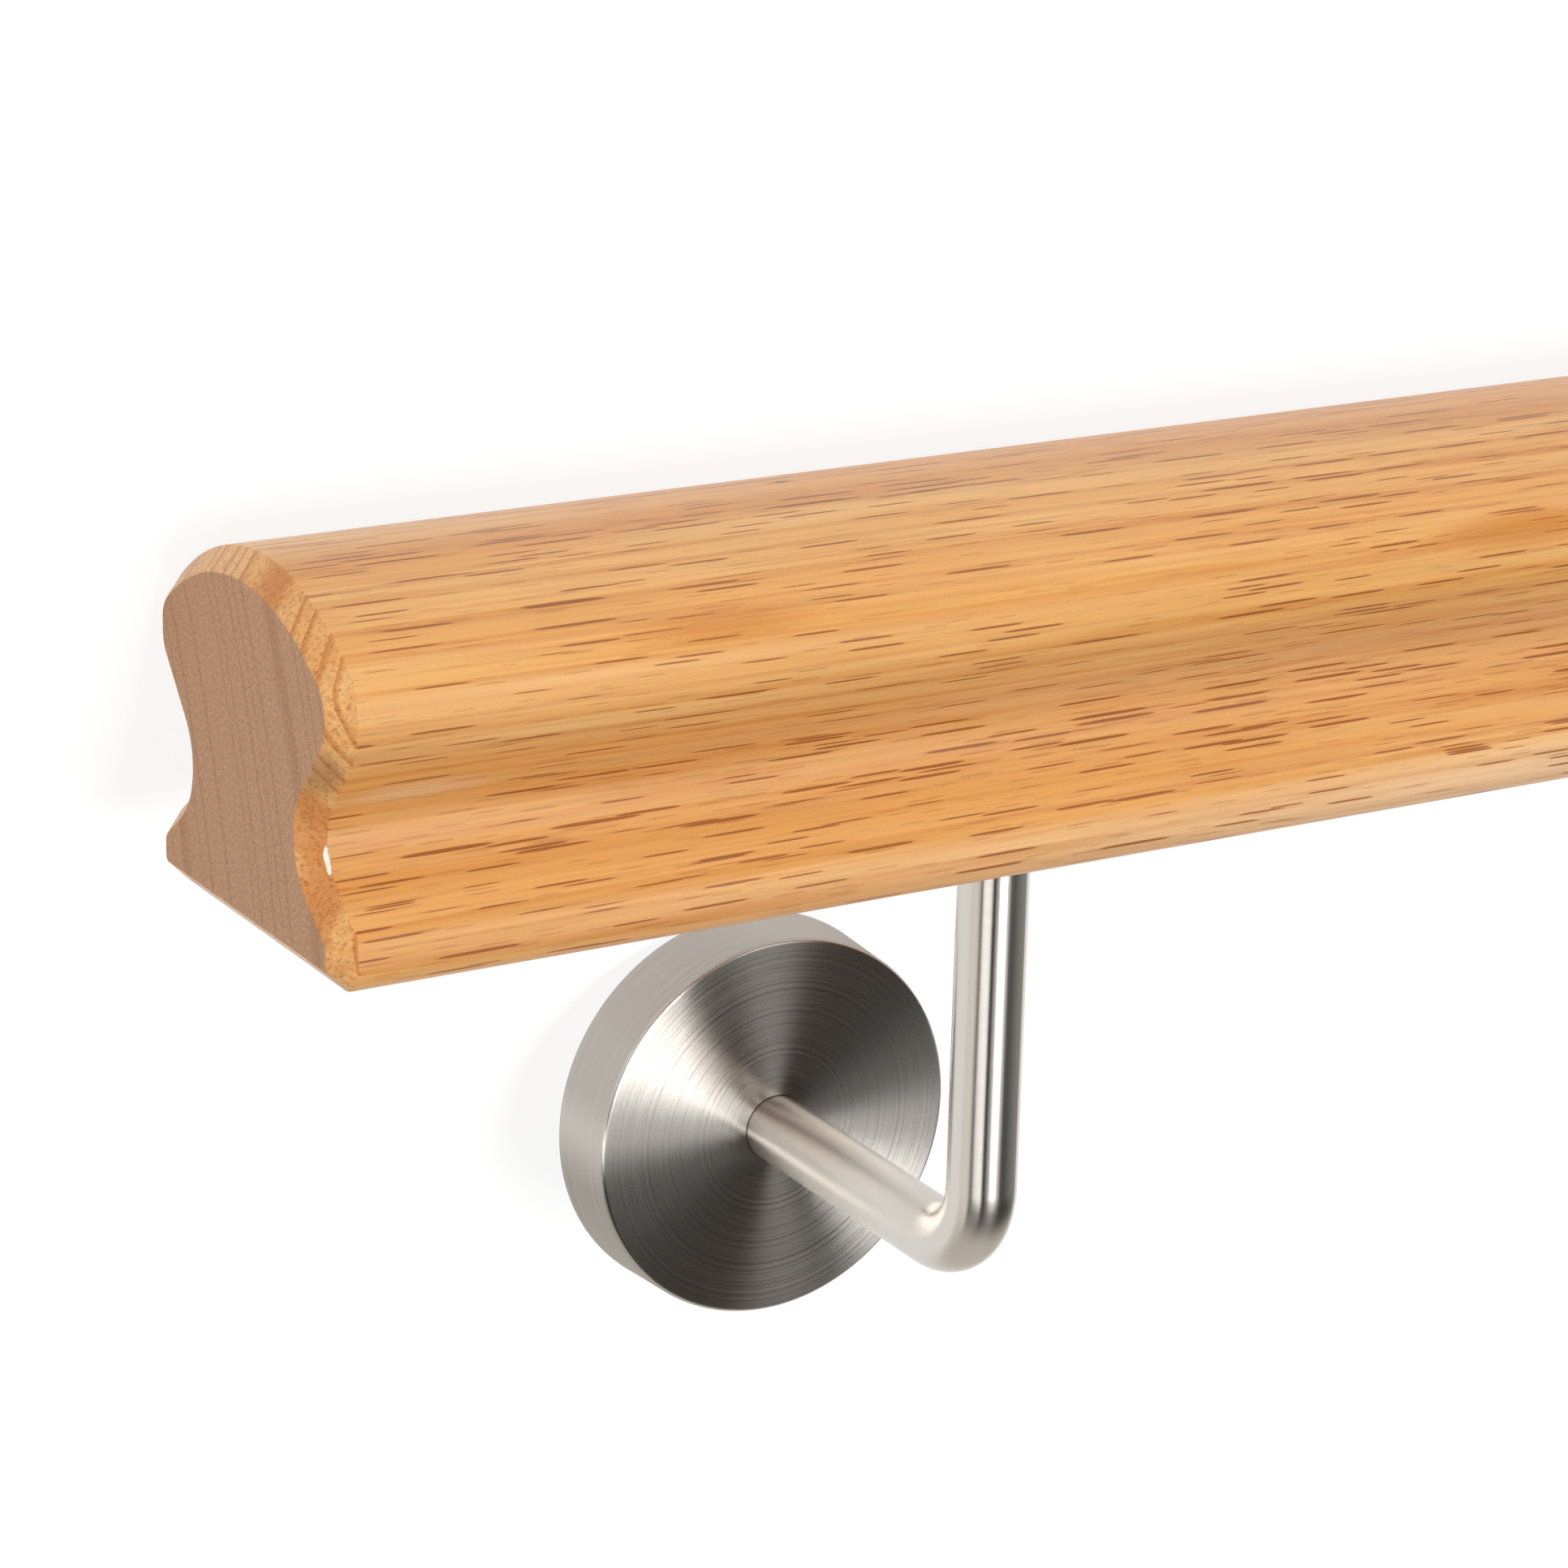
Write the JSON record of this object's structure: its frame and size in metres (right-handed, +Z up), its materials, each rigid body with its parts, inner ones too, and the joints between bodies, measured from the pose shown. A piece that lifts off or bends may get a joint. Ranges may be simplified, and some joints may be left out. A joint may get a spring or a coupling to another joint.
{
  "type": "stair handrail length",
  "caption": "Straight oak stair handrail of mushroom section with chamfered ends, carried on bent stainless rod wall brackets with round cover rosettes.",
  "frame": {"origin": "on the floor, under the middle of the object's box as it lies on its back", "axes": "+X along the rail, +Z up from the floor, +Y from the cover rosettes towards the rail's crown"},
  "size_m": [1.2, 0.1993, 0.0902],
  "materials": {
    "oak": "satin lacquer",
    "stainless": "satin brushed",
    "zinc_screw": "bright zinc"
  },
  "bodies": {
    "root": {"handrail": "oak", "saddle_plate_left": "stainless", "bracket_rod_left": "stainless", "wall_plate_left": "stainless", "cover_rosette_left": "stainless", "saddle_screw_left_a": "zinc_screw", "saddle_screw_left_b": "zinc_screw", "saddle_plate_right": "stainless", "bracket_rod_right": "stainless", "wall_plate_right": "stainless", "cover_rosette_right": "stainless", "saddle_screw_right_a": "zinc_screw", "saddle_screw_right_b": "zinc_screw"}
  },
  "joints": []
}
